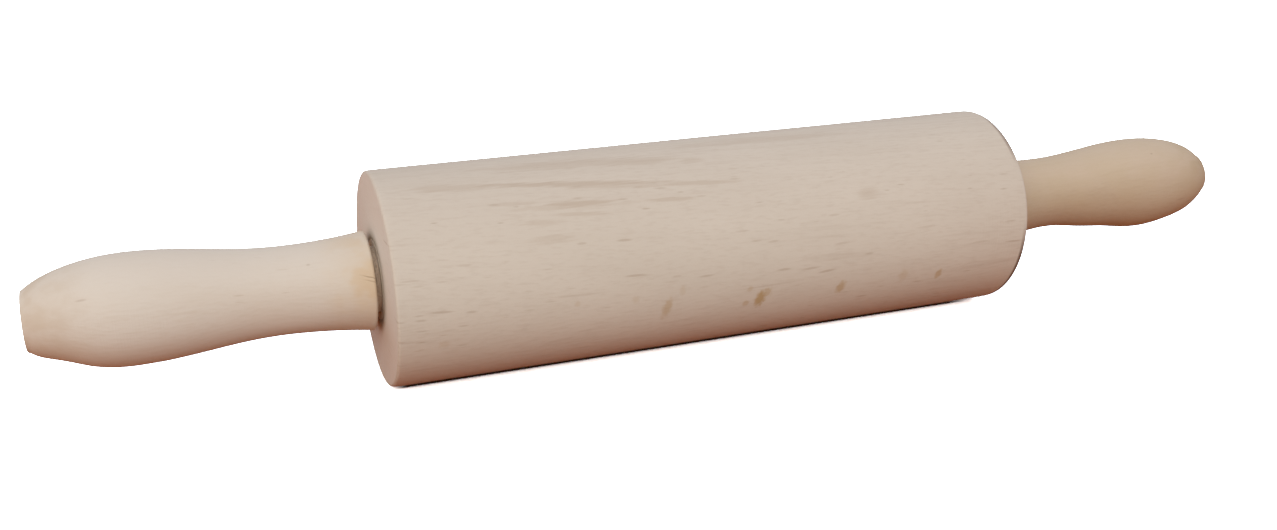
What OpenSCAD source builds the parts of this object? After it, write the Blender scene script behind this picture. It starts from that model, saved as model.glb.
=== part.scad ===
// Wooden rolling pin with a revolving roller and two turned handles.
// The pin lies along X and its middle is the origin, so the roller turns about the X axis.
// Both handles are pressed and glued on the ends of one steel rod, and the roller turns on
// that rod in two flanged bushes. All sizes are millimetres.

/* [Roller] */
// Outside diameter of the roller
roller_d = 65; // [55:1:75]
// Length of the roller between its end faces
roller_len = 208; // [180:1:260]
// Radius of the eased arris at each end of the roller
roller_arris = 0.9; // [0.4:0.1:2]
// Diameter of the long hole drilled right through the roller
roller_bore_d = 11; // [9.6:0.2:13]

/* [Handles] */
// Length of one handle from its shoulder to its end
handle_len = 94; // [84:1:110]
// Diameter of the handle at the shoulder beside the roller
shoulder_d = 30; // [28:0.5:34]
// Diameter at the waist, the thinnest place of the grip
waist_d = 26; // [22:0.5:28]
// Distance from the shoulder to the waist
waist_at = 26; // [20:1:32]
// Diameter of the swell, the thickest place of the grip
swell_d = 32.2; // [29:0.2:38]
// Distance from the shoulder to the swell
swell_at = 66; // [58:1:72]
// Diameter of the flat where the handle was cut off the lathe
end_d = 16; // [12:0.5:20]
// Gap between the handle's shoulder and the roller's end face
gap = 2; // [1.6:0.1:3]

/* [Axle] */
// Diameter of the steel rod
rod_d = 8; // [7:0.5:8.5]
// Length of rod held inside each handle
rod_grip = 58; // [40:1:62]
// Distance from one glue groove to the next, at both ends of the rod
groove_pitch = 5; // [3:0.5:8]

/* [Bushes and washers] */
// Outside diameter of a bush
bush_d = 18; // [14:0.5:20]
// Length of a bush with its flange
bush_len = 16; // [10:1:24]
// Diameter of the bush's flange, which lies flush in the end face
flange_d = 24; // [22:0.5:26]
// Thickness of the flange
flange_t = 1.6; // [1:0.1:2.4]
// Radial running clearance between the rod and its bushes
running_clearance = 0.06; // [0.03:0.01:0.1]
// Outside diameter of a thrust washer
washer_d = 20; // [16:0.5:24]
// Thickness of a thrust washer
washer_t = 1.2; // [0.8:0.1:1.3]

/* [Hidden] */
$fn = 96;
roller_half = roller_len / 2;
shoulder_x = roller_half + gap;
handle_end_x = shoulder_x + handle_len;
rod_half = shoulder_x + rod_grip;

// Small turned details
arris_steps = 5;
shoulder_round = 0.8;
end_round = 1.6;
end_round_from = 12;
round_steps = 5;
flare_steps = 8;
swell_steps = 14;
nose_steps = 16;
rod_chamfer = 1;
groove_depth = 0.3;
groove_w = 1.6;
groove_first = 6;
drill_angle = 118;
drill_extra = 1.5;
bore_lip = 0.6;
bush_chamfer = 0.6;
washer_bore_gap = 0.2;
washer_off = 0.1;

// As many glue grooves as the held length of rod has room for
groove_count = 1 + floor((rod_grip - groove_first - groove_w - rod_chamfer) / groove_pitch);
// Corners of one groove, each as [share of its width, share of its depth]
groove_corners = [[0, 0], [0.25, 1], [0.75, 1], [1, 0]];
// How far a cutter runs out past the face that it cuts
overrun = 1;

// Points of a quarter round about [cx, cz], from one angle to another
function quarter(cx, cz, r, from, to, steps) =
  [for (i = [0 : steps]) let (a = from + (to - from) * i / steps) [cx + r * cos(a), cz + r * sin(a)]];

// The handle's radius at a distance s from its shoulder. A parabola flares from the waist
// up to the shoulder, a cosine wave rises to the swell, and a part of an ellipse is the nose.
nose_reach = (handle_len - swell_at) / sqrt(1 - pow(end_d / swell_d, 2));
function flare_r(s) = waist_d / 2 + (shoulder_d - waist_d) / 2 * pow(1 - s / waist_at, 2);
function rise_r(s) = waist_d / 2
  + (swell_d - waist_d) / 2 * (1 - cos(180 * (s - waist_at) / (swell_at - waist_at))) / 2;
function nose_r(s) = swell_d / 2 * sqrt(1 - pow((s - swell_at) / nose_reach, 2));
function handle_r(s) = s < waist_at ? flare_r(s) : s < swell_at ? rise_r(s) : nose_r(s);

// The handle's outline as [radius, distance from the shoulder]
nose_stop = handle_len - end_round;
function handle_outline() = concat(
  [[0, 0]],
  quarter(handle_r(shoulder_round) - shoulder_round, shoulder_round, shoulder_round, -90, 0, round_steps),
  [for (i = [1 : flare_steps]) let (s = shoulder_round + (waist_at - shoulder_round) * i / flare_steps)
    [handle_r(s), s]],
  [for (i = [1 : swell_steps]) let (s = waist_at + (swell_at - waist_at) * i / swell_steps)
    [handle_r(s), s]],
  [for (i = [1 : nose_steps]) let (s = swell_at + (nose_stop - swell_at) * sin(90 * i / nose_steps))
    [handle_r(s), s]],
  quarter(nose_r(nose_stop) - end_round, nose_stop, end_round, end_round_from, 90, round_steps),
  [[0, handle_len]]
);

// Turns what was drawn along Z to lie along X, on the right or the left of the middle
module along_x(side) {
  rotate([0, side * 90, 0]) children();
}

// Round cutter of one depth and diameter, sunk into both end faces of the roller
module end_seats(depth, d) {
  for (side = [-1, 1])
    translate([0, 0, side * (roller_half - (depth - overrun) / 2)])
      cylinder(h = depth + overrun, d = d, center = true);
}

// Beech barrel, drilled right through, with a stepped seat for a bush at each end
module roller() {
  color("burlywood")
    rotate([0, 90, 0])
      difference() {
        rotate_extrude()
          polygon(concat(
            [[0, -roller_half]],
            quarter(roller_d / 2 - roller_arris, roller_arris - roller_half, roller_arris, -90, 0, arris_steps),
            quarter(roller_d / 2 - roller_arris, roller_half - roller_arris, roller_arris, 0, 90, arris_steps),
            [[0, roller_half]]
          ));
        cylinder(h = roller_len + 2 * overrun, d = roller_bore_d, center = true);
        end_seats(bush_len, bush_d);
        end_seats(flange_t, flange_d);
      }
}

// One end of the rod's outline, from the first glue groove to the chamfered tip
function rod_end_outline() = concat(
  [for (i = [0 : groove_count - 1], corner = groove_corners)
    let (z = shoulder_x + groove_first + i * groove_pitch)
    [rod_d / 2 - corner[1] * groove_depth, z + corner[0] * groove_w]],
  [[rod_d / 2, rod_half - rod_chamfer], [rod_d / 2 - rod_chamfer, rod_half], [0, rod_half]]
);

// Bright steel rod with ring grooves at both ends, where the glue locks it in the handles
module axle_rod() {
  color("lightsteelblue")
    rotate([0, 90, 0])
      for (side = [0, 1])
        mirror([0, 0, side])
          rotate_extrude()
            polygon(concat([[0, 0], [rod_d / 2, 0]], rod_end_outline()));
}

// Turned beech handle with the rod's blind hole, which has a broken edge at the shoulder
// and ends in the point of the drill
module handle(side) {
  hole_r = rod_d / 2;
  hole_len = rod_grip + drill_extra;
  color("wheat")
    along_x(side)
      translate([0, 0, shoulder_x])
        difference() {
          rotate_extrude() polygon(handle_outline());
          translate([0, 0, -overrun]) cylinder(h = hole_len + overrun, r = hole_r);
          translate([0, 0, hole_len]) cylinder(h = hole_r / tan(drill_angle / 2), r1 = hole_r, r2 = 0);
          translate([0, 0, -bore_lip]) cylinder(h = 2 * bore_lip, r1 = hole_r + 2 * bore_lip, r2 = hole_r);
        }
}
module handle_left() { handle(-1); }
module handle_right() { handle(1); }

// Flanged nylon bush, pressed into the roller's seat until its flange lies flush
module bush(side) {
  bore_r = rod_d / 2 + running_clearance;
  color("ivory")
    along_x(side)
      rotate_extrude()
        polygon([
          [bore_r, roller_half - bush_len],
          [bush_d / 2 - bush_chamfer, roller_half - bush_len],
          [bush_d / 2, roller_half - bush_len + bush_chamfer],
          [bush_d / 2, roller_half - flange_t],
          [flange_d / 2, roller_half - flange_t],
          [flange_d / 2, roller_half],
          [bore_r, roller_half]
        ]);
}
module bush_left() { bush(-1); }
module bush_right() { bush(1); }

// Steel thrust washer, loose on the rod between the bush's flange and the handle's shoulder
module washer(side) {
  color("silver")
    along_x(side)
      translate([0, 0, roller_half + washer_off])
        difference() {
          cylinder(h = washer_t, d = washer_d);
          translate([0, 0, -overrun]) cylinder(h = washer_t + 2 * overrun, r = rod_d / 2 + washer_bore_gap);
        }
}
module washer_left() { washer(-1); }
module washer_right() { washer(1); }

roller();
axle_rod();
handle_left();
handle_right();
bush_left();
bush_right();
washer_left();
washer_right();
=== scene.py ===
import math

import bpy
import numpy as np
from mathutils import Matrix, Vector


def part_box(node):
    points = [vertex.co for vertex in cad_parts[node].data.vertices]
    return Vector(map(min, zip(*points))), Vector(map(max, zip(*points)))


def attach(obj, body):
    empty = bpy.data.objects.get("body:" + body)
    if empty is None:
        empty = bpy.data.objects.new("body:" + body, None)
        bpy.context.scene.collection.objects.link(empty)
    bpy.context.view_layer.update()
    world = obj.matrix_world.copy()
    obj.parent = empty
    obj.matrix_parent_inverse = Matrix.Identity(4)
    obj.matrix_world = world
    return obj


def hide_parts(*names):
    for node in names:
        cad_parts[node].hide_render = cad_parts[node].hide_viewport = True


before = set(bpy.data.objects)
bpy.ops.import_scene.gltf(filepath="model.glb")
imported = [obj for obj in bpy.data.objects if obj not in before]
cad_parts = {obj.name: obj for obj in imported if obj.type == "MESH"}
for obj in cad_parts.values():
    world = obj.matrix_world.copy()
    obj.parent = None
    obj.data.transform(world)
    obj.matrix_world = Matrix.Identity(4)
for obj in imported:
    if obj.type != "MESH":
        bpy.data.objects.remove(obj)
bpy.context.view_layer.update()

mm = 0.001


# The camera
# It stands at the photograph's viewing angle: a little above the pin, left of its middle and close,
# so the left handle looks larger than the right one. The distances are those of the real pin.
camera_place = (-162.46 * mm, -372.65 * mm, 140.80 * mm)
camera_heading = -20.87
camera_dip = 20.27
camera_lens = 37.467
sensor_width = 36.0

camera_data = bpy.data.cameras.new("camera")
camera_data.sensor_fit = "HORIZONTAL"
camera_data.sensor_width = sensor_width
camera_data.lens = camera_lens
camera_data.clip_start = 10 * mm
camera = bpy.data.objects.new("camera", camera_data)
camera.location = camera_place
camera.rotation_euler = (math.radians(90 - camera_dip), 0, math.radians(camera_heading))
bpy.context.scene.collection.objects.link(camera)
bpy.context.scene.camera = camera


# The roller
# A barrel turned from one beech billet, sanded and left bare. It is drilled right through for the
# rod, and each end has a stepped seat, turned on the lathe, that takes a flanged bush.
roller_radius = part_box("roller")[1].z
roller_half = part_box("roller")[1].x
flange_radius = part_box("bush_right")[1].z
seat_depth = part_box("bush_right")[1].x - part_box("bush_right")[0].x
seat_radius = 9.0 * mm
flange_depth = 1.6 * mm
bore_radius = 5.5 * mm
arris_radius = 0.9 * mm
seat_lip = 0.25 * mm
edge_stretch = 1.5 * mm
face_break = roller_radius - 4 * mm
flat_tolerance = 0.01 * mm
skin_from = 0.9 * roller_radius
skin_fade = 0.05 * roller_radius
barrel_waver_depth = 0.05 * mm
barrel_dent_depth = 0.07 * mm
barrel_dent_size = 2.2 * mm
rim_reach = 1.3 * mm
rim_wear_depth = 0.22 * mm
rim_wear_endwise = 0.16 * mm
rim_chip_depth = 0.2 * mm
rim_chip_size = 1.6 * mm
face_waver_depth = 0.06 * mm
barrel_columns = 256
barrel_seed = 41


def stretch(start, stop, steps):
    """Points in equal steps from start to stop, without start itself."""
    share = np.linspace(0, 1, steps + 1)[1:, None]
    return np.array(start) + share * (np.array(stop) - np.array(start))


def round_corner(centre, radius, start, stop, steps):
    """Points (x, r) = centre + radius (cos t, sin t), with t going from start to stop in degrees."""
    t = np.radians(np.linspace(start, stop, steps + 1))
    return np.array(centre) + radius * np.stack([np.cos(t), np.sin(t)], 1)


def turned_rings(outline, angles):
    """Rings of a turned piece. Row i, column j is (x_i, -r_i cos a_j, r_i sin a_j): the angle is 0 at
    the front, where the camera is, and 90 degrees on top."""
    x, r = outline[:, :1], outline[:, 1:]
    a = angles[None, :]
    return np.stack([x + 0 * a, -r * np.cos(a), r * np.sin(a)], -1)


def press_in(rings, inward, lengthwise):
    """Rings whose points are moved towards the axis by inward and along X by lengthwise: (x, y, z)
    becomes (x + lengthwise, y (1 - inward / r), z (1 - inward / r)), with r = sqrt(y^2 + z^2)."""
    reach = np.maximum(np.hypot(rings[..., 1], rings[..., 2]), mm)
    moved = rings * (1 - (inward / reach)[..., None] * (0, 1, 1))
    moved[..., 0] += lengthwise
    return moved


def turned_mesh(name, rings, tube=False):
    """Mesh over an array of rings (row, column, point). Each ring closes on itself. In a tube the last
    ring joins the first. Otherwise a fan about the middle of the first and the last ring closes it."""
    rows, columns = rings.shape[:2]
    index = np.arange(rows * columns).reshape(rows, columns)
    points = rings.reshape(-1, 3)
    if tube:
        index = np.vstack([index, index[:1]])
    here, ahead = index[:-1], index[1:]
    quads = np.stack([here, ahead, np.roll(ahead, -1, 1), np.roll(here, -1, 1)], -1)
    faces = quads.reshape(-1, 4).tolist()
    if not tube:
        points = np.vstack([points, rings[0].mean(0), rings[-1].mean(0)])
        first = np.full(columns, rows * columns)
        faces += np.stack([first, index[0], np.roll(index[0], -1)], 1).tolist()
        faces += np.stack([index[-1], first + 1, np.roll(index[-1], -1)], 1).tolist()
    mesh = bpy.data.meshes.new(name)
    mesh.from_pydata(points.tolist(), [], faces)
    mesh.shade_smooth()
    mesh.set_sharp_from_angle(angle=math.radians(40))
    piece = bpy.data.objects.new(name, mesh)
    bpy.context.scene.collection.objects.link(piece)
    return piece


def store(piece, label, values):
    """Keeps a number for each vertex of the piece, for its material. The middle point of a fan takes
    the mean of the ring that it closes."""
    data = np.concatenate([values.ravel(), [values[0].mean(), values[-1].mean()]])
    data = data[: len(piece.data.vertices)].astype(np.float32)
    piece.data.attributes.new(label, "FLOAT", "POINT").data.foreach_set("value", data)


def hand_waver(x, angles, length, seed, terms=6):
    """Slow waver of a hand-sanded surface, about -1 to 1: a sum of waves sin(n a + k x + p), with n a
    whole number so that it closes round the piece, and k up to one wave in length."""
    draw = np.random.default_rng(seed)
    total = np.zeros((len(x), len(angles)))
    for _ in range(terms):
        n, k, p = draw.integers(1, 6), draw.uniform(-1, 1) * math.tau / length, draw.uniform(0, math.tau)
        total += np.sin(n * angles[None, :] + k * x[:, None] + p) / terms
    return total


def dents(x, angles, radius, count, reach, seed, span):
    """Shallow bruises, 0 to 1 deep: the sum of bells exp(-d^2), with d the distance over the surface
    from each bruise's middle, along the piece and round it, as a share of that bruise's size."""
    draw = np.random.default_rng(seed)
    total = np.zeros((len(x), len(angles)))
    for _ in range(count):
        at, turn = draw.uniform(*span), draw.uniform(0, math.tau)
        size, slim, deep = draw.uniform(0.5, 1) * reach, draw.uniform(0.5, 1), draw.uniform(0.3, 1)
        away = (angles[None, :] - turn + math.pi) % math.tau - math.pi
        total += deep * np.exp(-((x[:, None] - at) / size) ** 2 - (away * radius / (slim * size)) ** 2)
    return total


barrel_end = roller_half - arris_radius
seat_floor = roller_half - seat_depth
flange_floor = roller_half - flange_depth
half_outline = np.vstack([
    stretch((0, roller_radius), (barrel_end - edge_stretch, roller_radius), 84),
    stretch((barrel_end - edge_stretch, roller_radius), (barrel_end, roller_radius), 3),
    round_corner((barrel_end, roller_radius - arris_radius), arris_radius, 90, 0, 7)[1:],
    stretch((roller_half, roller_radius - arris_radius), (roller_half, face_break), 4),
    stretch((roller_half, face_break), (roller_half, flange_radius + seat_lip), 14),
    stretch((roller_half, flange_radius + seat_lip), (roller_half - seat_lip, flange_radius), 2),
    stretch((roller_half - seat_lip, flange_radius), (flange_floor, flange_radius), 2),
    stretch((flange_floor, flange_radius), (flange_floor, seat_radius), 2),
    stretch((flange_floor, seat_radius), (seat_floor, seat_radius), 4),
    stretch((seat_floor, seat_radius), (seat_floor, bore_radius), 2),
    stretch((seat_floor, bore_radius), (0, bore_radius), 8),
])
barrel_outline = np.vstack([half_outline, half_outline[-2::-1] * (-1, 1), [(0, roller_radius)]])
around = np.arange(barrel_columns) / barrel_columns * math.tau
along, reach_out = barrel_outline.T

# How near a point is to either rim, and whether it is on the skin or on an end face, from 0 to 1
off_rim = np.hypot(np.abs(along) - roller_half, reach_out - roller_radius)
rim = np.exp(-(off_rim / rim_reach) ** 2)[:, None]
skin = np.clip((reach_out - skin_from) / skin_fade, 0, 1)[:, None]
face = ((np.abs(along) > roller_half - flat_tolerance) & (reach_out > flange_radius))[:, None] * 1.0

rim_span = (-roller_half, roller_half)
dent_span = (-100 * mm, 100 * mm)
rim_wear = 0.5 + 0.5 * hand_waver(along, around, 300 * mm, barrel_seed, terms=9)
rim_chips = dents(along, around, roller_radius, 26, rim_chip_size, barrel_seed + 1, rim_span)
barrel_waver = 0.5 + 0.5 * hand_waver(along, around, 90 * mm, barrel_seed + 2)
barrel_dents = dents(along, around, roller_radius, 34, barrel_dent_size, barrel_seed + 3, dent_span)
face_waver = 0.5 + 0.5 * hand_waver(reach_out, around, 40 * mm, barrel_seed + 4)
inward = skin * (barrel_waver_depth * barrel_waver + barrel_dent_depth * barrel_dents)
inward = inward + rim * (rim_wear_depth * rim_wear + rim_chip_depth * rim_chips)
endwise = rim * rim_wear_endwise * rim_wear + face * face_waver_depth * face_waver

barrel_rings = press_in(turned_rings(barrel_outline, around), inward, -np.sign(along)[:, None] * endwise)
barrel = turned_mesh("beech_barrel", barrel_rings, tube=True)
store(barrel, "end_grain", np.broadcast_to(face, barrel_rings.shape[:2]))


def add(tree, kind, inputs=(), out=0, **settings):
    """Puts a shader node in a tree. inputs maps a socket's name or number to a value or to another
    node's output. Returns the new node's output of that name or number."""
    made = tree.nodes.new("ShaderNode" + kind)
    for label, value in settings.items():
        setattr(made, label, value)
    for label, value in dict(inputs).items():
        if isinstance(value, bpy.types.NodeSocket):
            tree.links.new(value, made.inputs[label])
        else:
            made.inputs[label].default_value = value
    return made.outputs[out]


def calc(tree, operation, a, b=0.0, c=0.0):
    """One step of arithmetic on numbers, such as MULTIPLY, ADD or MAXIMUM."""
    return add(tree, "Math", {0: a, 1: b, 2: c}, operation=operation)


def product(tree, first, *others):
    """The product of several numbers, worked out from left to right."""
    for other in others:
        first = calc(tree, "MULTIPLY", first, other)
    return first


def calc_vector(tree, operation, a, b=(0, 0, 0), out="Vector"):
    """One step of arithmetic on vectors. LENGTH and DOT_PRODUCT put out a number, called Value."""
    return add(tree, "VectorMath", {0: a, 1: b}, out=out, operation=operation)


def step_up(tree, value, low, high, to_low=0.0, to_high=1.0):
    """Smooth step: to_low where value is under low, to_high where it is over high."""
    sockets = {"Value": value, "From Min": low, "From Max": high, "To Min": to_low, "To Max": to_high}
    return add(tree, "MapRange", sockets, interpolation_type="SMOOTHSTEP")


def in_cells(tree, position, sizes):
    """The position counted in cells of these three sizes, in metres."""
    return calc_vector(tree, "MULTIPLY", position, [1 / size for size in sizes])


def noise(tree, position, detail=2.0, roughness=0.5, out="Fac"):
    """Cloudy noise with one blob per unit of position."""
    sockets = {"Vector": position, "Scale": 1.0, "Detail": detail, "Roughness": roughness}
    return add(tree, "TexNoise", sockets, out=out)


def blend(tree, factor, a, b):
    """Mixes two colours: a where factor is 0 and b where it is 1."""
    made = add(tree, "Mix", {"Factor": factor}, data_type="RGBA").node
    for socket, value in ((made.inputs[6], a), (made.inputs[7], b)):
        if isinstance(value, bpy.types.NodeSocket):
            tree.links.new(value, socket)
        else:
            socket.default_value = (*value, 1)
    return made.outputs[2]


def new_group(label, inputs, outputs):
    """An empty node group with these named sockets, as (name, kind, value) and (name, kind). Returns
    the group, the outputs of its input node and the inputs of its output node."""
    group = bpy.data.node_groups.new(label, "ShaderNodeTree")
    for name, kind, value in inputs:
        made = group.interface.new_socket(name=name, in_out="INPUT", socket_type="NodeSocket" + kind)
        made.default_value = value
    for name, kind in outputs:
        group.interface.new_socket(name=name, in_out="OUTPUT", socket_type="NodeSocket" + kind)
    given = group.nodes.new("NodeGroupInput").outputs
    result = group.nodes.new("NodeGroupOutput").inputs
    return group, given, result


# How large the beech's features are, in metres: along the grain, across the rings and round them
wander_cells = (0.12, 0.04, 0.04)
wander_reach = (0.0, 0.004, 0.004)
uneven_ring_cells = (1, 0.007, 1)
streak_cells = (0.06, 0.0016, 0.0016)
streak_group_cells = (0.10, 0.014, 0.014)
fibre_cells = (0.004, 0.0006, 0.0006)
patch_cells = (0.05, 0.017, 0.017)
ray_cells = (0.0062, 0.014, 0.0007)


def make_beech():
    """Node group of beech as a solid. Growth rings lie about the pith, which is the X axis of the
    position that it is given. Rays run outwards from the pith, tall along the grain and thin across
    it, so one pattern shows as dark dashes where the surface faces the pith, as pale flakes where it
    is cut along the rays, and as hairlines on the ends."""
    t, given, result = new_group(
        "beech",
        [
            ("Position", "Vector", (0, 0, 0)),
            ("Facing", "Float", 1.0),
            ("End Grain", "Float", 0.0),
            ("Pith Distance", "Float", 0.085),
            ("Ring Width", "Float", 0.003),
            ("Figure", "Float", 1.0),
            ("Fleck Share", "Float", 0.1),
            ("Pale", "Color", (0.6, 0.5, 0.42, 1)),
            ("Dark", "Color", (0.5, 0.4, 0.32, 1)),
            ("Warm", "Color", (0.6, 0.47, 0.35, 1)),
            ("Fleck", "Color", (0.3, 0.2, 0.13, 1)),
            ("Cut End", "Color", (0.7, 0.6, 0.5, 1)),
        ],
        [("Color", "Color"), ("Roughness", "Float"), ("Height", "Float")],
    )
    # Grain that wanders a little, so that no line is ruler-straight
    drift = noise(t, in_cells(t, given["Position"], wander_cells), out="Color")
    drift = calc_vector(t, "SUBTRACT", drift, (0.5, 0.5, 0.5))
    drift = calc_vector(t, "MULTIPLY", drift, wander_reach)
    split = add(t, "SeparateXYZ", {0: calc_vector(t, "ADD", given["Position"], drift)}).node.outputs
    across = add(t, "CombineXYZ", {"Y": split["Y"], "Z": split["Z"]})
    radius = calc_vector(t, "LENGTH", across, out="Value")
    angle = calc(t, "ARCTAN2", split["Z"], calc(t, "MULTIPLY", split["Y"], -1.0))
    arc = calc(t, "MULTIPLY", angle, given["Pith Distance"])
    grain = add(t, "CombineXYZ", {"X": split["X"], "Y": radius, "Z": arc})
    # Growth rings of uneven width, each ending in a thin dark line of late wood. They are strongest
    # where the surface cuts across them.
    uneven = noise(t, in_cells(t, add(t, "CombineXYZ", {"Y": radius}), uneven_ring_cells), detail=1.0)
    phase = calc(t, "DIVIDE", radius, given["Ring Width"])
    in_ring = calc(t, "FRACT", calc(t, "MULTIPLY_ADD", uneven, 2.6, phase))
    late = product(
        t,
        step_up(t, in_ring, 0.4, 0.93),
        step_up(t, in_ring, 0.94, 1.0, 1.0, 0.0),
        step_up(t, given["Facing"], 0.4, 1.0, 0.14, 0.06),
        given["Figure"],
    )
    # Long streaks that come in groups, fine fibres and broad patches
    streak = noise(t, in_cells(t, grain, streak_cells), detail=3.0, roughness=0.6)
    streaky = noise(t, in_cells(t, grain, streak_group_cells), detail=1.0)
    fibre = noise(t, in_cells(t, grain, fibre_cells))
    patch = noise(t, in_cells(t, grain, patch_cells))
    streak_mask = step_up(t, streak, 0.5, 0.75, 0.0, 0.6)
    dark_streak = product(t, streak_mask, step_up(t, streaky, 0.4, 0.65), given["Figure"])
    # Rays: a spindle in each cell. Three random numbers of the cell say which kind it is, how strong
    # and how large. A share of them are dark with pores, and others show as flakes.
    cell = add(t, "TexVoronoi", {"Vector": in_cells(t, grain, ray_cells), "Scale": 1.0}).node
    kind, strength, girth = add(t, "SeparateColor", {0: cell.outputs["Color"]}).node.outputs
    size = calc(t, "MULTIPLY_ADD", girth, 0.26, 0.2)
    spindle = step_up(t, calc(t, "DIVIDE", cell.outputs["Distance"], size), 0.2, 1.0, 1.0, 0.0)
    dash = product(
        t,
        spindle,
        calc(t, "LESS_THAN", kind, given["Fleck Share"]),
        step_up(t, strength, 0.3, 1.0, 0.06, 0.38),
        step_up(t, given["Facing"], 0.45, 0.8),
    )
    shown = calc(t, "MAXIMUM", step_up(t, given["Facing"], 0.3, 0.7, 0.5, 0.0), given["End Grain"])
    flake = product(t, spindle, calc(t, "GREATER_THAN", kind, 0.6), shown)

    color = blend(t, step_up(t, patch, 0.3, 0.7), given["Pale"], given["Warm"])
    color = blend(t, late, color, given["Dark"])
    color = blend(t, dark_streak, color, given["Dark"])
    color = blend(t, step_up(t, fibre, 0.45, 0.75, 0.0, 0.3), color, given["Dark"])
    color = blend(t, calc(t, "MULTIPLY", given["End Grain"], 0.75), color, given["Cut End"])
    color = blend(t, calc(t, "MULTIPLY", flake, 0.35), color, given["Pale"])
    color = blend(t, dash, color, given["Fleck"])
    t.links.new(color, result["Color"])
    t.links.new(step_up(t, streak, 0.3, 0.7, 0.62, 0.74), result["Roughness"])
    height = calc(t, "SUBTRACT", calc(t, "MULTIPLY", fibre, 0.5), calc(t, "MULTIPLY", dash, 0.8))
    t.links.new(calc(t, "MULTIPLY_ADD", streak, 0.4, height), result["Height"])
    return t


beech = make_beech()


def lie_on(turn, slant=0.0):
    """Rotation, as three angles, that lays a mark on the surface at this angle round the piece, its
    length along X but leaning down towards +X by slant. Both are in degrees."""
    turn, slant = math.radians(turn), math.radians(slant)
    return (-turn, slant * math.cos(turn), -slant * math.sin(turn))


def soft_marks(tree, position, edge, marks):
    """Mask of soft-edged marks, the strongest of them at each point. A mark is an ellipsoid: its
    middle, its rotation, its three half lengths and its strength. edge makes the outlines ragged."""
    total = 0.0
    for middle, rotation, half_sizes, strength in marks:
        sockets = {"Vector": position, "Location": middle, "Rotation": rotation, "Scale": half_sizes}
        place = add(tree, "Mapping", sockets, vector_type="TEXTURE")
        distance = calc(tree, "ADD", calc_vector(tree, "LENGTH", place, out="Value"), edge)
        total = calc(tree, "MAXIMUM", total, step_up(tree, distance, 0.3, 1.0, strength, 0.0))
    return total


def ragged(tree, position, sizes, amount):
    """Noise about 0, in cells of these sizes, that moves a mark's outline in and out."""
    about_zero = calc(tree, "SUBTRACT", noise(tree, in_cells(tree, position, sizes)), 0.5)
    return calc(tree, "MULTIPLY", about_zero, amount)


def new_material(name):
    """A material that holds its shader alone. Returns the material, its tree, the shader, and the
    position in Object coordinates."""
    material = bpy.data.materials.new(name)
    material.use_nodes = True
    tree = material.node_tree
    return material, tree, tree.nodes["Principled BSDF"], add(tree, "TexCoord", out="Object")


def raise_surface(tree, shader, height, strength, distance):
    """Gives the shader bumps of this height, a number that counts as distance in metres where it is 1."""
    bump = add(tree, "Bump", {"Height": height, "Strength": strength, "Distance": distance})
    tree.links.new(bump, shader.inputs["Normal"])


def bare_wood(name, pith, tilt, values, extra):
    """Material of bare sanded beech. pith is a point on the tree's middle line, tilt how that line
    leans against the piece in degrees, and values the group's own colours and sizes. extra takes the
    tree, the position and the colour so far, and returns the colour with this piece's own marks."""
    material, tree, shader, position = new_material(name)
    sockets = {"Vector": position, "Location": pith, "Rotation": [math.radians(a) for a in tilt]}
    place = add(tree, "Mapping", sockets, vector_type="TEXTURE")
    outward, from_pith = (
        calc_vector(tree, "NORMALIZE", calc_vector(tree, "MULTIPLY", at, (0, 1, 1)))
        for at in (position, place)
    )
    facing = calc(tree, "ABSOLUTE", calc_vector(tree, "DOT_PRODUCT", outward, from_pith, out="Value"))
    end = add(tree, "Attribute", out="Fac", attribute_name="end_grain")
    wood = add(tree, "Group", node_tree=beech).node
    for label, value in (("Position", place), ("Facing", facing), ("End Grain", end)):
        tree.links.new(value, wood.inputs[label])
    wood.inputs["Pith Distance"].default_value = math.hypot(pith[1], pith[2])
    for label, value in values.items():
        wood.inputs[label].default_value = value
    tree.links.new(extra(tree, position, wood.outputs["Color"]), shader.inputs["Base Color"])
    tree.links.new(wood.outputs["Roughness"], shader.inputs["Roughness"])
    # Faint lines round the piece, left by the chisel and the sandpaper on the lathe
    lathe_lines = noise(tree, in_cells(tree, position, (0.0007, 0.03, 0.03)))
    height = calc(tree, "MULTIPLY_ADD", lathe_lines, 0.3, wood.outputs["Height"])
    raise_surface(tree, shader, height, strength=0.3, distance=0.0003)
    shader.inputs["Specular IOR Level"].default_value = 0.35
    return material


def on_barrel(x, turn):
    """The point of the barrel's surface at this distance along it and this angle in degrees."""
    a = math.radians(turn)
    return (x, -roller_radius * math.cos(a), roller_radius * math.sin(a))


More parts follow.
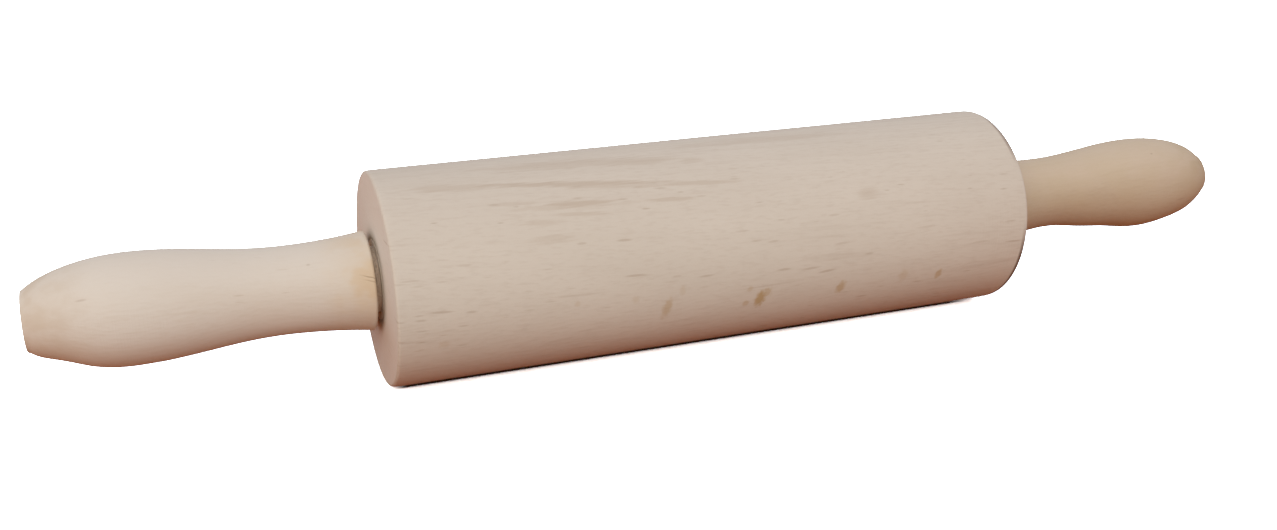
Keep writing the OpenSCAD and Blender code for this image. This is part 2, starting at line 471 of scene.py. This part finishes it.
# Marks of this one barrel, as distance along it in mm and angle round it in degrees, then their
# lean in degrees, half length and half width in mm, and strength
bark_spots = [
    (8, -19.5, 22, 2.6, 4.4, 0.9),
    (10, -15.5, 25, 2.2, 2.8, 0.5),
    (-23, -16.5, 12, 2.0, 5.0, 0.5),
    (36, -19.5, 20, 2.1, 3.3, 0.65),
    (72, -20, 15, 1.7, 2.6, 0.6),
    (3.3, -21, 0, 1.6, 1.5, 0.45),
    (4, -11.5, 0, 1.5, 1.3, 0.3),
    (-33.5, -8, 0, 1.7, 1.7, 0.2),
    (-51.5, -6, 0, 1.5, 1.4, 0.2),
    (-18.5, -6.5, 0, 1.5, 2.2, 0.2),
    (58.5, -17, 0, 2.2, 3.6, 0.25),
    (-91, -19, 0, 2.5, 1.8, 0.2),
]
dark_streaks = [
    (-48, 77, 4, 34, 4.0, 0.35),
    (-28, 73, 4, 22, 2.6, 0.35),
    (19, 82, 2, 38, 3.0, 0.3),
    (-8, 68, 0, 5, 1.8, 0.3),
    (-83, 66, 5, 17, 2.2, 0.35),
    (-46, 59.5, 7, 42, 1.5, 0.6),
    (-40, 56.5, 7, 30, 1.2, 0.4),
    (-10, 51.5, 5, 20, 1.2, 0.4),
    (-47, 47, 4, 14, 1.5, 0.6),
    (-50, 46, 3, 26, 1.2, 0.3),
    (-19, 43.5, 3, 10, 1.1, 0.45),
    (-66, 51, 4, 9, 1.0, 0.25),
    (-48, 41, 4, 12, 0.9, 0.35),
    (-60, 38.5, 3, 8, 1.2, 0.3),
    (-57, 29.5, 1, 10, 2.0, 0.25),
    (46, 33.5, 0, 5.5, 3.0, 0.35),
]
ray_dashes = [
    (-91.5, 0, 4, 4.8, 0.55, 0.4),
    (-83, -2, 3, 2.3, 0.55, 0.35),
    (-97.5, -3, 4, 2.3, 0.5, 0.3),
    (-84, 22, 3, 3.0, 0.5, 0.2),
    (-99.5, 17.5, 2, 4.0, 0.4, 0.25),
    (-50.5, -1, 2, 10, 0.5, 0.2),
    (-33.5, 5.5, 2, 4.5, 0.55, 0.4),
    (-20.5, 2, 0, 2.2, 0.5, 0.25),
    (-11, 0, 0, 3.3, 0.5, 0.35),
    (-36, 24.5, 3, 3.4, 0.55, 0.4),
    (-49, 25.5, 2, 2.2, 0.5, 0.3),
    (1.5, 21.5, 0, 3.5, 0.5, 0.2),
    (6, 15.5, 0, 2.7, 0.5, 0.25),
    (11.5, 14, -2, 2.7, 0.5, 0.25),
    (10, -11, -1, 15, 0.5, 0.2),
    (15, -2.5, 0, 3.2, 0.55, 0.4),
    (24.5, -4, -2, 4.3, 0.55, 0.35),
    (30, -7, -4, 3.9, 0.6, 0.45),
    (44.5, 0, 0, 2.3, 0.5, 0.3),
    (33, 24, 0, 2.7, 0.5, 0.25),
    (35, 8, 0, 3.8, 0.5, 0.25),
    (65.5, 11, 0, 5.7, 0.5, 0.2),
    (86, -2, 0, 4.2, 0.45, 0.25),
    (98.5, -4.5, 2, 4.3, 0.4, 0.45),
    (97, 8, 0, 3.0, 0.4, 0.3),
]
spot_brown = (0.44, 0.315, 0.165)
arris_shade_brown = (0.17, 0.105, 0.08)
streak_brown = (0.47, 0.39, 0.31)
dash_brown = (0.36, 0.275, 0.20)
gap_shade_gray = (0.46, 0.40, 0.33)
gap_shade_inner = 13 * mm
gap_shade_outer = 17 * mm
gap_shade_strength = 0.5


def laid_on_barrel(marks, depth=1.5 * mm):
    """The marks of a list above, as soft_marks takes them."""
    return [
        (on_barrel(x * mm, turn), lie_on(turn, lean), (half * mm, depth, wide * mm), strength)
        for x, turn, lean, half, wide, strength in marks
    ]


def outward_distance(tree, position):
    """Distance from the X axis, sqrt(y^2 + z^2)."""
    return calc_vector(tree, "LENGTH", calc_vector(tree, "MULTIPLY", position, (0, 1, 1)), out="Value")


def arris_shade_mask(tree, position):
    """Mask of painted shade on the front of the right arris, more below than above: the product of
    smooth steps along X, outwards from the axis, up the height Z and towards the front, -Y."""
    place = add(tree, "SeparateXYZ", {0: position}).node.outputs
    from_axis = outward_distance(tree, position)
    by_end = step_up(tree, place["X"], roller_half - 2.3 * mm, roller_half - 1.4 * mm)
    outermost = step_up(tree, from_axis, roller_radius - 1.8 * mm, roller_radius - 0.9 * mm)
    low = step_up(tree, place["Z"], -10 * mm, 5 * mm, 0.95, 0.0)
    high = step_up(tree, place["Z"], 20 * mm, 27 * mm, 0.0, 0.55)
    front = step_up(tree, place["Y"], -12 * mm, 0.0, 1.0, 0.0)
    return product(tree, by_end, outermost, calc(tree, "MAXIMUM", low, high), front)


def barrel_marks(tree, position, color):
    """On the end faces a ring by the flange, greyed as painted shade of the gap, then streaks on the
    barrel's upper front, dashes, brown bark spots below, and painted shade on the right arris."""
    end = add(tree, "Attribute", out="Fac", attribute_name="end_grain")
    from_axis = outward_distance(tree, position)
    flange_shade = step_up(tree, from_axis, gap_shade_inner, gap_shade_outer, gap_shade_strength, 0.0)
    streak_edge = ragged(tree, position, (0.012, 0.0007, 0.0007), 1.5)
    spot_edge = ragged(tree, position, (0.0014, 0.0014, 0.0014), 0.9)
    # Painted shade: a grey ring on each end face round the flange, where the gap lies in shade
    color = blend(tree, product(tree, end, flange_shade), color, gap_shade_gray)
    for marks, edge, tint in (
        (dark_streaks, streak_edge, streak_brown),
        (ray_dashes, 0.0, dash_brown),
        (bark_spots, spot_edge, spot_brown),
    ):
        color = blend(tree, soft_marks(tree, position, edge, laid_on_barrel(marks)), color, tint)
    # Painted shade on the lower front of the right arris
    return blend(tree, arris_shade_mask(tree, position), color, arris_shade_brown)


barrel_wood = bare_wood(
    "barrel_beech",
    pith=(0, 85 * mm, 7 * mm),
    tilt=(0, 2.0, -2.5),
    values={
        "Ring Width": 3.4 * mm,
        "Figure": 1.0,
        "Fleck Share": 0.3,
        "Pale": (0.625, 0.575, 0.505, 1),
        "Dark": (0.51, 0.445, 0.375, 1),
        "Warm": (0.605, 0.555, 0.485, 1),
        "Fleck": (0.34, 0.26, 0.18, 1),
        "Cut End": (0.72, 0.675, 0.615, 1),
    },
    extra=barrel_marks,
)
barrel.data.materials.append(barrel_wood)
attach(barrel, "roller")
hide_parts("roller")


# The handles
# Two beech handles turned alike, each with a flared shoulder, a waist, a swell for the palm and a
# rounded nose that ends in a flat where it was sawn off the lathe. The rod is glued in a blind hole.
handle_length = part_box("handle_right")[1].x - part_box("handle_right")[0].x
shoulder_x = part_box("handle_right")[0].x
shoulder_radius = 15.0 * mm
waist_radius = 13.0 * mm
waist_at = 26.0 * mm
swell_radius = 16.1 * mm
swell_at = 66.0 * mm
end_radius = 8.6 * mm
shoulder_round = 0.8 * mm
end_round = 0.6 * mm
hole_radius = 4.0 * mm
hole_depth = 59.5 * mm
drill_half_angle = 59.0
hole_lip = 0.6 * mm
grip_columns = 192
split_width = 0.36 * mm
split_deepest = 0.3 * mm
grip_waver_depth = 0.15 * mm
grip_dent_depth = 0.08 * mm
grip_dent_size = 2.2 * mm
corner_reach = 1.8 * mm
corner_wear = 0.25 * mm
corner_wear_endwise = 0.1 * mm
saw_line_spacing = 0.45 * mm
saw_line_depth = 0.04 * mm
end_hollow = 0.45 * mm
nib_height = 0.35 * mm
nib_radius = 1.0 * mm
innermost_radius = 0.3 * mm
split_shade_brown = (0.24, 0.17, 0.11)


def grip_radius(s):
    """The handle's radius at a distance s from the shoulder: a parabola flares from the waist to the
    shoulder, a cosine wave rises to the swell, and a part of an ellipse is the nose."""
    nose = (handle_length - swell_at) / math.sqrt(1 - (end_radius / swell_radius) ** 2)
    flare = waist_radius + (shoulder_radius - waist_radius) * (1 - s / waist_at) ** 2
    wave = (1 - np.cos(math.pi * (s - waist_at) / (swell_at - waist_at))) / 2
    rise = waist_radius + (swell_radius - waist_radius) * wave
    drop = swell_radius * np.sqrt(np.clip(1 - ((s - swell_at) / nose) ** 2, 0, 1))
    return np.where(s < waist_at, flare, np.where(s < swell_at, rise, drop))


corner_at = handle_length - end_round
corner_radius = float(grip_radius(np.array(corner_at)))


def grip_outline():
    """Points (s, r) from the bottom of the drilled hole out to the shoulder, along the grip and over
    the end, nearly to the axis. s is the distance from the shoulder."""
    face_radius = float(grip_radius(np.array(shoulder_round))) - shoulder_round
    neck_stop = 7 * mm
    grip = np.concatenate([
        np.linspace(shoulder_round, neck_stop, 24)[1:],
        np.linspace(neck_stop, corner_at, 108)[1:-1],
    ])
    tip = hole_depth + hole_radius / math.tan(math.radians(drill_half_angle))
    return np.vstack([
        [(tip - 0.2 * mm, innermost_radius), (hole_depth, hole_radius)],
        stretch((hole_depth, hole_radius), (hole_lip, hole_radius), 6),
        stretch((hole_lip, hole_radius), (0, hole_radius + hole_lip), 2),
        stretch((0, hole_radius + hole_lip), (0, face_radius), 8),
        round_corner((shoulder_round, face_radius), shoulder_round, 180, 90, 5)[1:],
        np.stack([grip, grip_radius(grip)], 1),
        round_corner((corner_at, corner_radius - end_round), end_round, 90, 0, 7),
        stretch((handle_length, corner_radius - end_round), (handle_length, innermost_radius), 14),
    ])


def split_depths(s, r, angles, splits):
    """Depth of the drying splits in the shoulder, each a groove with a V section. A split is its angle
    in degrees, its run from the rim, its depth, and how far its far end bends round, in degrees."""
    total = np.zeros((len(s), len(angles)))
    for turn, run, depth, bend in splits:
        share = np.clip(s / run, 0, 1)[:, None]
        middle = math.radians(turn) + math.radians(bend) * share
        away = (angles[None, :] - middle + math.pi) % math.tau - math.pi
        section = np.clip(1 - np.abs(away) * shoulder_radius / (split_width / 2), 0, 1)
        fading = np.clip((1 - share) / 0.5, 0, 1)
        total = np.maximum(total, depth * section * fading * (r > 10 * mm)[:, None])
    return total


def make_grip(name, side, seed, cut_slant, lift, sanded, splits=()):
    """A turned handle with the waver of hand sanding, its end sawn a little out of square and hollow
    with a nib at the centre, the corner there worn unevenly, and drying splits at the shoulder.
    sanded lists where more was taken off, as distance from the shoulder, reach, angle and depth:
    inward = depth exp(-((s - distance) / reach)^2) (0.5 + 0.5 cos(a - angle))^2.
    The wood warped as it dried, so beyond its neck the handle stands higher by lift."""
    outline = grip_outline()
    s, r = outline.T
    # Columns lie closer together across each split, so that its groove has a clean section
    fine = [
        math.radians(turn) + np.linspace(min(bend, 0) - 2, max(bend, 0) + 2, 31) * math.radians(1)
        for turn, run, depth, bend in splits
    ]
    angles = np.unique(np.concatenate([np.arange(grip_columns) / grip_columns * math.tau, *fine]))
    rings = turned_rings(outline, angles)
    outside = np.clip((r - 6 * mm) / (2 * mm), 0, 1)[:, None]
    skin = outside * np.clip(s / (3 * mm), 0, 1)[:, None]
    bruises = dents(s, angles, waist_radius, 14, grip_dent_size, seed + 1, (10 * mm, 90 * mm))
    inward = grip_waver_depth * hand_waver(s, angles, 70 * mm, seed) * skin
    inward += grip_dent_depth * bruises * skin
    for distance, reach, turn, depth in sanded:
        bell = np.exp(-((s - distance) / reach) ** 2)[:, None]
        towards = (0.5 + 0.5 * np.cos(angles[None, :] - math.radians(turn))) ** 2
        inward += depth * bell * towards * outside

    off_corner = np.hypot(s - handle_length, r - corner_radius)
    near_corner = np.exp(-(off_corner / corner_reach) ** 2)[:, None]
    below = 0.5 + 0.5 * np.cos(angles + math.radians(65))[None, :]
    uneven = 0.7 * below + 0.3 * (0.5 + 0.5 * hand_waver(s, angles, 1000 * mm, seed + 2))
    inward += corner_wear * near_corner * uneven

    end_face = (s > handle_length - flat_tolerance)[:, None] * 1.0
    near_end = np.clip(1 - (handle_length - s) / (4 * mm), 0, 1)[:, None]
    height = r[:, None] * np.sin(angles)[None, :] / end_radius
    shortened = cut_slant * near_end * (1 + height) / 2 + corner_wear_endwise * near_corner * uneven
    saw_lines = 0.5 + 0.5 * np.sin(r[:, None] * np.sin(angles[None, :] + 0.7) / saw_line_spacing)
    hollow = np.clip(1 - r / end_radius, 0, 1)[:, None]
    nib = np.exp(-(r / nib_radius) ** 2)[:, None]
    shortened += end_face * (saw_line_depth * saw_lines + end_hollow * hollow - nib_height * nib)
    groove = split_depths(s, r, angles, splits)

    rings = press_in(rings, inward + groove, -shortened)
    beyond_neck = np.clip(s / (60 * mm), 0, 1)
    not_in_hole = (r > 5 * mm) | (s > 70 * mm)
    rings[..., 2] += lift * (beyond_neck**2 * (3 - 2 * beyond_neck) * not_in_hole)[:, None]
    rings[..., 0] = side * (shoulder_x + rings[..., 0])
    end_mask = np.broadcast_to(np.maximum(end_face, (s < flat_tolerance)[:, None]), rings.shape[:2])
    if side < 0:
        rings, end_mask, groove = rings[::-1], end_mask[::-1], groove[::-1]
    piece = turned_mesh(name, rings)
    store(piece, "end_grain", end_mask)
    store(piece, "split", groove / split_deepest)
    return piece


def on_grip(side, s, turn):
    """The point of a handle's surface at a distance s from its shoulder and this angle in degrees."""
    a, r = math.radians(turn), float(grip_radius(np.array(s)))
    return (side * (shoulder_x + s), -r * math.cos(a), r * math.sin(a))


def grip_marks(side, honey, spread, handled, top_light, underside_shade, small_marks):
    """Marks of one handle: painted light on top and painted shade underneath, a honey tint round the
    middle of the neck, where the rod is glued in, and by spread of it along the grip, a handled tint
    round the nose, small dark marks, and painted shade inside its splits. A small mark is its distance
    from the shoulder in mm, its angle in degrees, its half length and half width in mm, and its strength."""
    laid = [
        (on_grip(side, s * mm, turn), lie_on(turn), (half * mm, mm, wide * mm), strength)
        for s, turn, half, wide, strength in small_marks
    ]

    def marks(tree, position, color):
        place = add(tree, "SeparateXYZ", {0: position}).node.outputs
        s = calc(tree, "SUBTRACT", calc(tree, "MULTIPLY", place["X"], side), shoulder_x)
        wavering = noise(tree, in_cells(tree, position, (0.03, 0.006, 0.006)), detail=3.0)
        level = calc(tree, "MULTIPLY_ADD", wavering, 12 * mm, place["Z"])
        cloud = noise(tree, in_cells(tree, position, (0.008, 0.006, 0.006)))
        patchy = step_up(tree, cloud, 0.38, 0.62, 0.4, 1.0)
        not_above = step_up(tree, place["Z"], 8 * mm, 15 * mm, 1.0, 0.6)
        not_below = step_up(tree, place["Z"], -7 * mm, 1 * mm, 0.3, 1.0)
        neck = product(tree, step_up(tree, s, 2 * mm, 18 * mm, 1.0, spread), not_above, not_below, patchy)
        nose = step_up(tree, s, handle_length - 20 * mm, handle_length - 4 * mm)
        split_shade_mask = add(tree, "Attribute", out="Fac", attribute_name="split")
        for mask, tint in (
            # Painted light on top of the handle, then painted shade underneath
            (step_up(tree, level, 8 * mm, 18 * mm, 0.0, 0.6), top_light),
            (step_up(tree, level, -7 * mm, 5 * mm, 0.6, 0.0), underside_shade),
            (neck, honey),
            (product(tree, nose, patchy), handled),
            (soft_marks(tree, position, 0.0, laid), dash_brown),
            # Painted shade inside the drying splits, deepest where the groove is deepest
            (step_up(tree, split_shade_mask, 0.0, 1.0, 0.0, 0.5), split_shade_brown),
        ):
            color = blend(tree, mask, color, tint)
        return color
    return marks


def grip_colors(pale, dark, warm, cut_end):
    """The beech group's values for a handle, with its own colours of wood."""
    return {
        "Ring Width": 2.4 * mm,
        "Figure": 0.6,
        "Fleck Share": 0.04,
        "Pale": (*pale, 1),
        "Dark": (*dark, 1),
        "Warm": (*warm, 1),
        "Fleck": (0.42, 0.32, 0.24, 1),
        "Cut End": (*cut_end, 1),
    }


left_splits = [(21.5, 5.2 * mm, 0.25 * mm, 7.0), (17.0, 4.2 * mm, 0.2 * mm, 6.0)]
left_sanded = [(85 * mm, 7 * mm, -75, 1.1 * mm)]
left_grip = make_grip("beech_grip_left", -1, 61, 0.1 * mm, 0.5 * mm, left_sanded, left_splits)
left_grip.data.materials.append(bare_wood(
    "grip_left_beech",
    pith=(-150 * mm, 34 * mm, -22 * mm),
    tilt=(0, 1.5, -1.0),
    values=grip_colors((0.675, 0.64, 0.58), (0.60, 0.54, 0.46), (0.66, 0.61, 0.54), (0.72, 0.65, 0.57)),
    extra=grip_marks(
        -1,
        honey=(0.64, 0.53, 0.39),
        spread=0.05,
        handled=(0.60, 0.53, 0.44),
        top_light=(0.68, 0.635, 0.57),
        underside_shade=(0.58, 0.51, 0.43),
        small_marks=[(78, 37, 2.2, 0.5, 0.3), (18, 50, 0.8, 0.5, 0.3)],
    ),
))
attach(left_grip, "axle_and_handles")
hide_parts("handle_left")

right_sanded = [
    (27 * mm, 16 * mm, -75, 1.5 * mm),
    (52 * mm, 9 * mm, -75, 0.75 * mm),
    (78 * mm, 8 * mm, -75, 0.35 * mm),
    (93 * mm, 5 * mm, -75, 0.8 * mm),
    (93 * mm, 5 * mm, 90, 0.6 * mm),
]
right_grip = make_grip("beech_grip_right", 1, 87, 0.2 * mm, 0.45 * mm, right_sanded)
right_grip.data.materials.append(bare_wood(
    "grip_right_beech",
    pith=(150 * mm, 26 * mm, 30 * mm),
    tilt=(0, -2.0, 1.5),
    values=grip_colors((0.55, 0.475, 0.365), (0.44, 0.35, 0.245), (0.52, 0.435, 0.32), (0.50, 0.42, 0.31)),
    extra=grip_marks(
        1,
        honey=(0.545, 0.455, 0.315),
        spread=0.4,
        handled=(0.51, 0.415, 0.285),
        top_light=(0.62, 0.515, 0.41),
        underside_shade=(0.455, 0.36, 0.245),
        small_marks=[(66, 56, 0.8, 0.5, 0.6), (78, -11, 5, 0.45, 0.3), (83, -20, 3, 0.45, 0.3)],
    ),
))
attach(right_grip, "axle_and_handles")
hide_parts("handle_right")


# The axle rod
# One length of drawn steel, 8 mm thick, that runs through the roller and into both handles. Only
# the two short stretches beside the washers can be seen, and they show the die's fine lines.
rod_bright = (0.50, 0.48, 0.46)
rod_dull = (0.28, 0.25, 0.21)


def make_scuffed():
    """Node group of metal that was drawn or pressed: fine lines along one axis and dull blotches."""
    group, given, result = new_group(
        "scuffed_metal",
        [
            ("Position", "Vector", (0, 0, 0)),
            ("Bright", "Color", (0.6, 0.6, 0.6, 1)),
            ("Dull", "Color", (0.4, 0.4, 0.4, 1)),
        ],
        [("Color", "Color"), ("Roughness", "Float"), ("Height", "Float")],
    )
    lines = noise(group, given["Position"], detail=3.0)
    cloud = noise(group, calc_vector(group, "MULTIPLY", given["Position"], (0.2, 0.1, 0.1)))
    worn = step_up(group, calc(group, "ADD", lines, cloud), 0.8, 1.2)
    group.links.new(blend(group, worn, given["Bright"], given["Dull"]), result["Color"])
    group.links.new(step_up(group, worn, 0.0, 1.0, 0.3, 0.6), result["Roughness"])
    group.links.new(lines, result["Height"])
    return group


scuffed = make_scuffed()


def bare_metal(name, bright, dull, line_sizes, metallic=1.0):
    """Material of bare metal. line_sizes says how long and how fine its lines are along each axis.
    Under a film of rust or dust metallic is less than 1."""
    material, tree, shader, position = new_material(name)
    surface = add(tree, "Group", node_tree=scuffed).node
    tree.links.new(in_cells(tree, position, line_sizes), surface.inputs["Position"])
    surface.inputs["Bright"].default_value = (*bright, 1)
    surface.inputs["Dull"].default_value = (*dull, 1)
    tree.links.new(surface.outputs["Color"], shader.inputs["Base Color"])
    tree.links.new(surface.outputs["Roughness"], shader.inputs["Roughness"])
    raise_surface(tree, shader, surface.outputs["Height"], strength=0.2, distance=0.00005)
    shader.inputs["Metallic"].default_value = metallic
    return material


def finish_node(node_name, material):
    """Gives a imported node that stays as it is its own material."""
    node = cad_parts[node_name]
    node.data.materials.clear()
    node.data.materials.append(material)


finish_node("axle_rod", bare_metal("rod", rod_bright, rod_dull, (0.02, 0.0003, 0.0003)))


# The bushes
# Two flanged bushes, moulded in natural nylon and pressed into the roller's seats until the flange
# lies flush. The rod turns in them. Their skin is smooth, clouded by how the melt ran.
nylon_pale = (0.86, 0.79, 0.70)
nylon_dusty = (0.76, 0.69, 0.60)


def moulded_nylon():
    """Material of natural nylon that has picked up a little wood dust."""
    material, tree, shader, position = new_material("nylon")
    cloud = noise(tree, in_cells(tree, position, (0.006, 0.004, 0.004)), detail=3.0)
    grain = noise(tree, in_cells(tree, position, (0.0006, 0.0006, 0.0006)), detail=1.0)
    color = blend(tree, step_up(tree, cloud, 0.3, 0.7), nylon_pale, nylon_dusty)
    tree.links.new(color, shader.inputs["Base Color"])
    tree.links.new(step_up(tree, cloud, 0.3, 0.7, 0.35, 0.5), shader.inputs["Roughness"])
    raise_surface(tree, shader, grain, strength=0.15, distance=0.00005)
    shader.inputs["Subsurface Weight"].default_value = 0.1
    shader.inputs["Subsurface Radius"].default_value = (0.002, 0.002, 0.0015)
    return material


nylon = moulded_nylon()
for node_name in ("bush_left", "bush_right"):
    finish_node(node_name, nylon)


# The thrust washers
# Two stamped steel washers, browned with wear under a film of wood dust, loose on the rod between a
# bush's flange and a handle's shoulder. Their colour is paler than such steel: painted light that
# lightens them deep in the shaded gap. They are the brown ring deep in the gap.
washer_pale_lit = (0.72, 0.61, 0.49)
washer_dull_lit = (0.58, 0.48, 0.37)
# Painted light: the washers are coloured paler than browned steel, to lighten the shaded gap
washer_metal = bare_metal("washer", washer_pale_lit, washer_dull_lit, (0.0004, 0.0006, 0.0006), metallic=0.2)
for node_name in ("washer_left", "washer_right"):
    finish_node(node_name, washer_metal)


# The floor
# A plain pale floor that the roller rests on. The camera sees it nearly white, with a thin brown
# shadow painted along the line where the roller touches it, which also darkens what the floor throws
# back there. What it throws back on the underside of the pin is a warm reddish brown, and nearly
# neutral from the stretch in front of the roller's middle.
floor_half = 4.0
floor_color = (5.0, 6.0, 6.5)
bounce_color = (0.43, 0.11, 0.01)
front_bounce_color = (0.68, 0.655, 0.60)
contact_shadow_color = (0.10, 0.05, 0.035)
contact_inner = 8.4 * mm
contact_outer = 9.5 * mm
front_middle = -80 * mm
front_half_width = 115 * mm
front_gone_by = 265 * mm
front_starts = 42 * mm
front_full_from = 80 * mm

floor_mesh = bpy.data.meshes.new("floor")
floor_signs = ((-1, -1), (1, -1), (1, 1), (-1, 1))
floor_corners = [(x * floor_half, y * floor_half, -roller_radius) for x, y in floor_signs]
floor_mesh.from_pydata(floor_corners, [], [(0, 1, 2, 3)])
floor = bpy.data.objects.new("floor", floor_mesh)
bpy.context.scene.collection.objects.link(floor)
floor_material = bpy.data.materials.new("floor")
floor_material.use_nodes = True
tree = floor_material.node_tree
tree.nodes.remove(tree.nodes["Principled BSDF"])
place = add(tree, "SeparateXYZ", {0: add(tree, "TexCoord", out="Object")}).node.outputs
before = calc(tree, "MULTIPLY", place["Y"], -1.0)
aside = calc(tree, "ABSOLUTE", calc(tree, "SUBTRACT", place["X"], front_middle))
in_front = product(
    tree,
    step_up(tree, before, front_starts, front_full_from),
    step_up(tree, aside, front_half_width, front_gone_by, 1.0, 0.0),
)
thrown_back = blend(tree, in_front, bounce_color, front_bounce_color)
paint = blend(tree, add(tree, "LightPath", out="Is Camera Ray"), thrown_back, floor_color)
# Painted shadow: a thin dark band along the line where the roller touches the floor
contact_shadow = product(
    tree,
    step_up(tree, calc(tree, "ABSOLUTE", place["Y"]), contact_inner, contact_outer, 1.0, 0.0),
    step_up(tree, place["X"], roller_half - 12 * mm, roller_half - 2 * mm, 1.0, 0.0),
    step_up(tree, place["X"], -roller_half, -roller_half + 6 * mm),
)
paint = blend(tree, contact_shadow, paint, contact_shadow_color)
tree.links.new(add(tree, "BsdfDiffuse", {"Color": paint}), tree.nodes["Material Output"].inputs["Surface"])
floor.data.materials.append(floor_material)


# The light
# Plain soft studio light: a pale dome over the floor, white to the camera, and one large soft lamp
# in front on the left, not much higher than the pin.
dome_strength = 0.70
dome_color = (1.0, 0.955, 0.98)
lamp_direction = Vector((-0.50, -0.69, 0.53)).normalized()
lamp_distance = 4.0
lamp_size = 2.6
lamp_power = 66.0
lamp_color = (1.0, 0.92, 0.78)

world = bpy.data.worlds.new("studio")
world.use_nodes = True
tree = world.node_tree
backdrop = (1 / dome_strength,) * 3
dome = blend(tree, add(tree, "LightPath", out="Is Camera Ray"), dome_color, backdrop)
tree.links.new(dome, tree.nodes["Background"].inputs["Color"])
tree.nodes["Background"].inputs["Strength"].default_value = dome_strength
bpy.context.scene.world = world

lamp_data = bpy.data.lights.new("lamp", "AREA")
lamp_data.shape = "DISK"
lamp_data.size = lamp_size
lamp_data.energy = lamp_power
lamp_data.color = lamp_color
lamp = bpy.data.objects.new("lamp", lamp_data)
lamp.location = lamp_direction * lamp_distance
lamp.rotation_euler = (-lamp_direction).to_track_quat("-Z", "Y").to_euler()
bpy.context.scene.collection.objects.link(lamp)
bpy.context.scene.view_settings.view_transform = "Standard"
